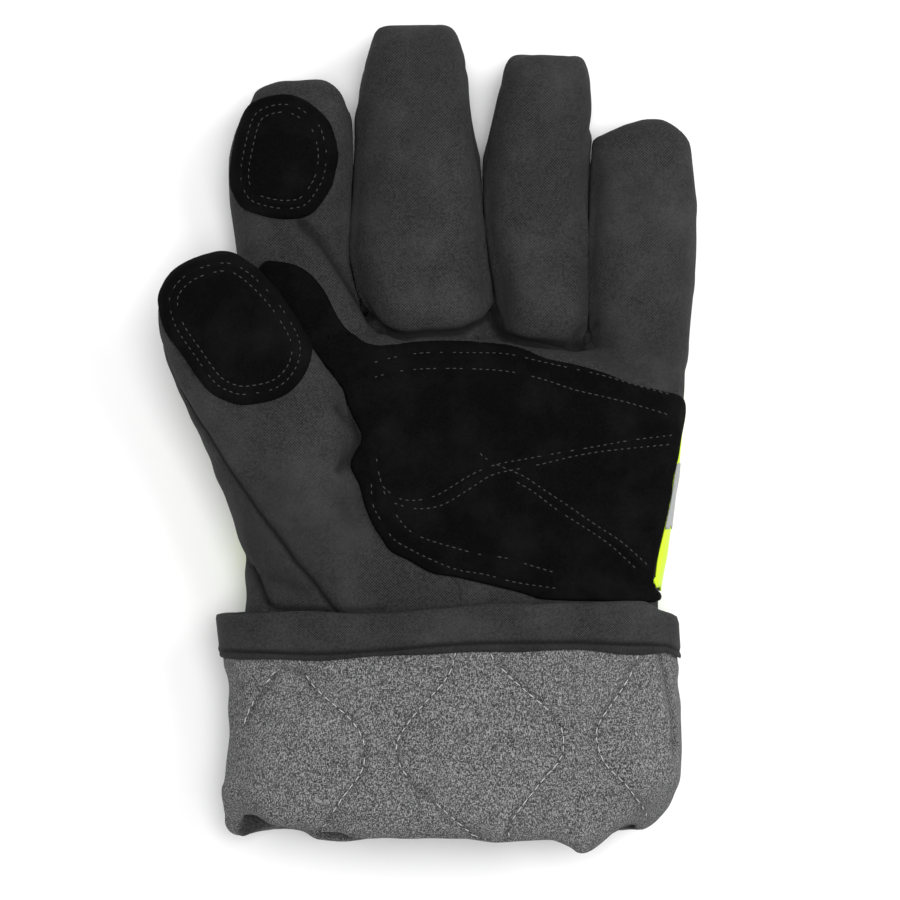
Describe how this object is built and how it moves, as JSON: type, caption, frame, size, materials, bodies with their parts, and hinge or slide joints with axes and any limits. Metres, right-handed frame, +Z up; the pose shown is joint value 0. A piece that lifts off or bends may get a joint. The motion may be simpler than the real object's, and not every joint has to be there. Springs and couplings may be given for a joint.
{
  "type": "firefighter glove",
  "caption": "Padded left-hand firefighter glove, palm up, with suede palm and tip patches, reflective trim round the side and a quilted lining cuff turned back.",
  "frame": {"origin": "centre of the bounding box, on the surface that the glove lies on", "axes": "+Y from the cuff towards the fingertips, +Z up out of the palm, +X towards the little finger"},
  "size_m": [0.1532, 0.2295, 0.0518],
  "materials": {
    "cloth": "charcoal woven cloth",
    "suede": "black suede",
    "lining": "grey heather quilted lining",
    "binding": "charcoal woven binding",
    "fluorescent_tape": "fluorescent yellow tape",
    "reflective_tape": "silver retroreflective tape"
  },
  "bodies": {
    "root": {"palm_panel": "cloth", "back_panel": "cloth", "middle_finger_front": "cloth", "ring_finger_front": "cloth", "fourchette_index_middle": "cloth", "fourchette_middle_ring": "cloth", "fourchette_ring_little": "cloth", "thumb_front": "cloth", "thumb_back": "cloth", "palm_patch": "suede", "index_tip_patch": "suede", "thumb_tip_patch": "suede", "trim_yellow": "fluorescent_tape", "trim_silver": "reflective_tape", "cuff_lining": "lining", "hem_band": "binding"}
  },
  "joints": []
}
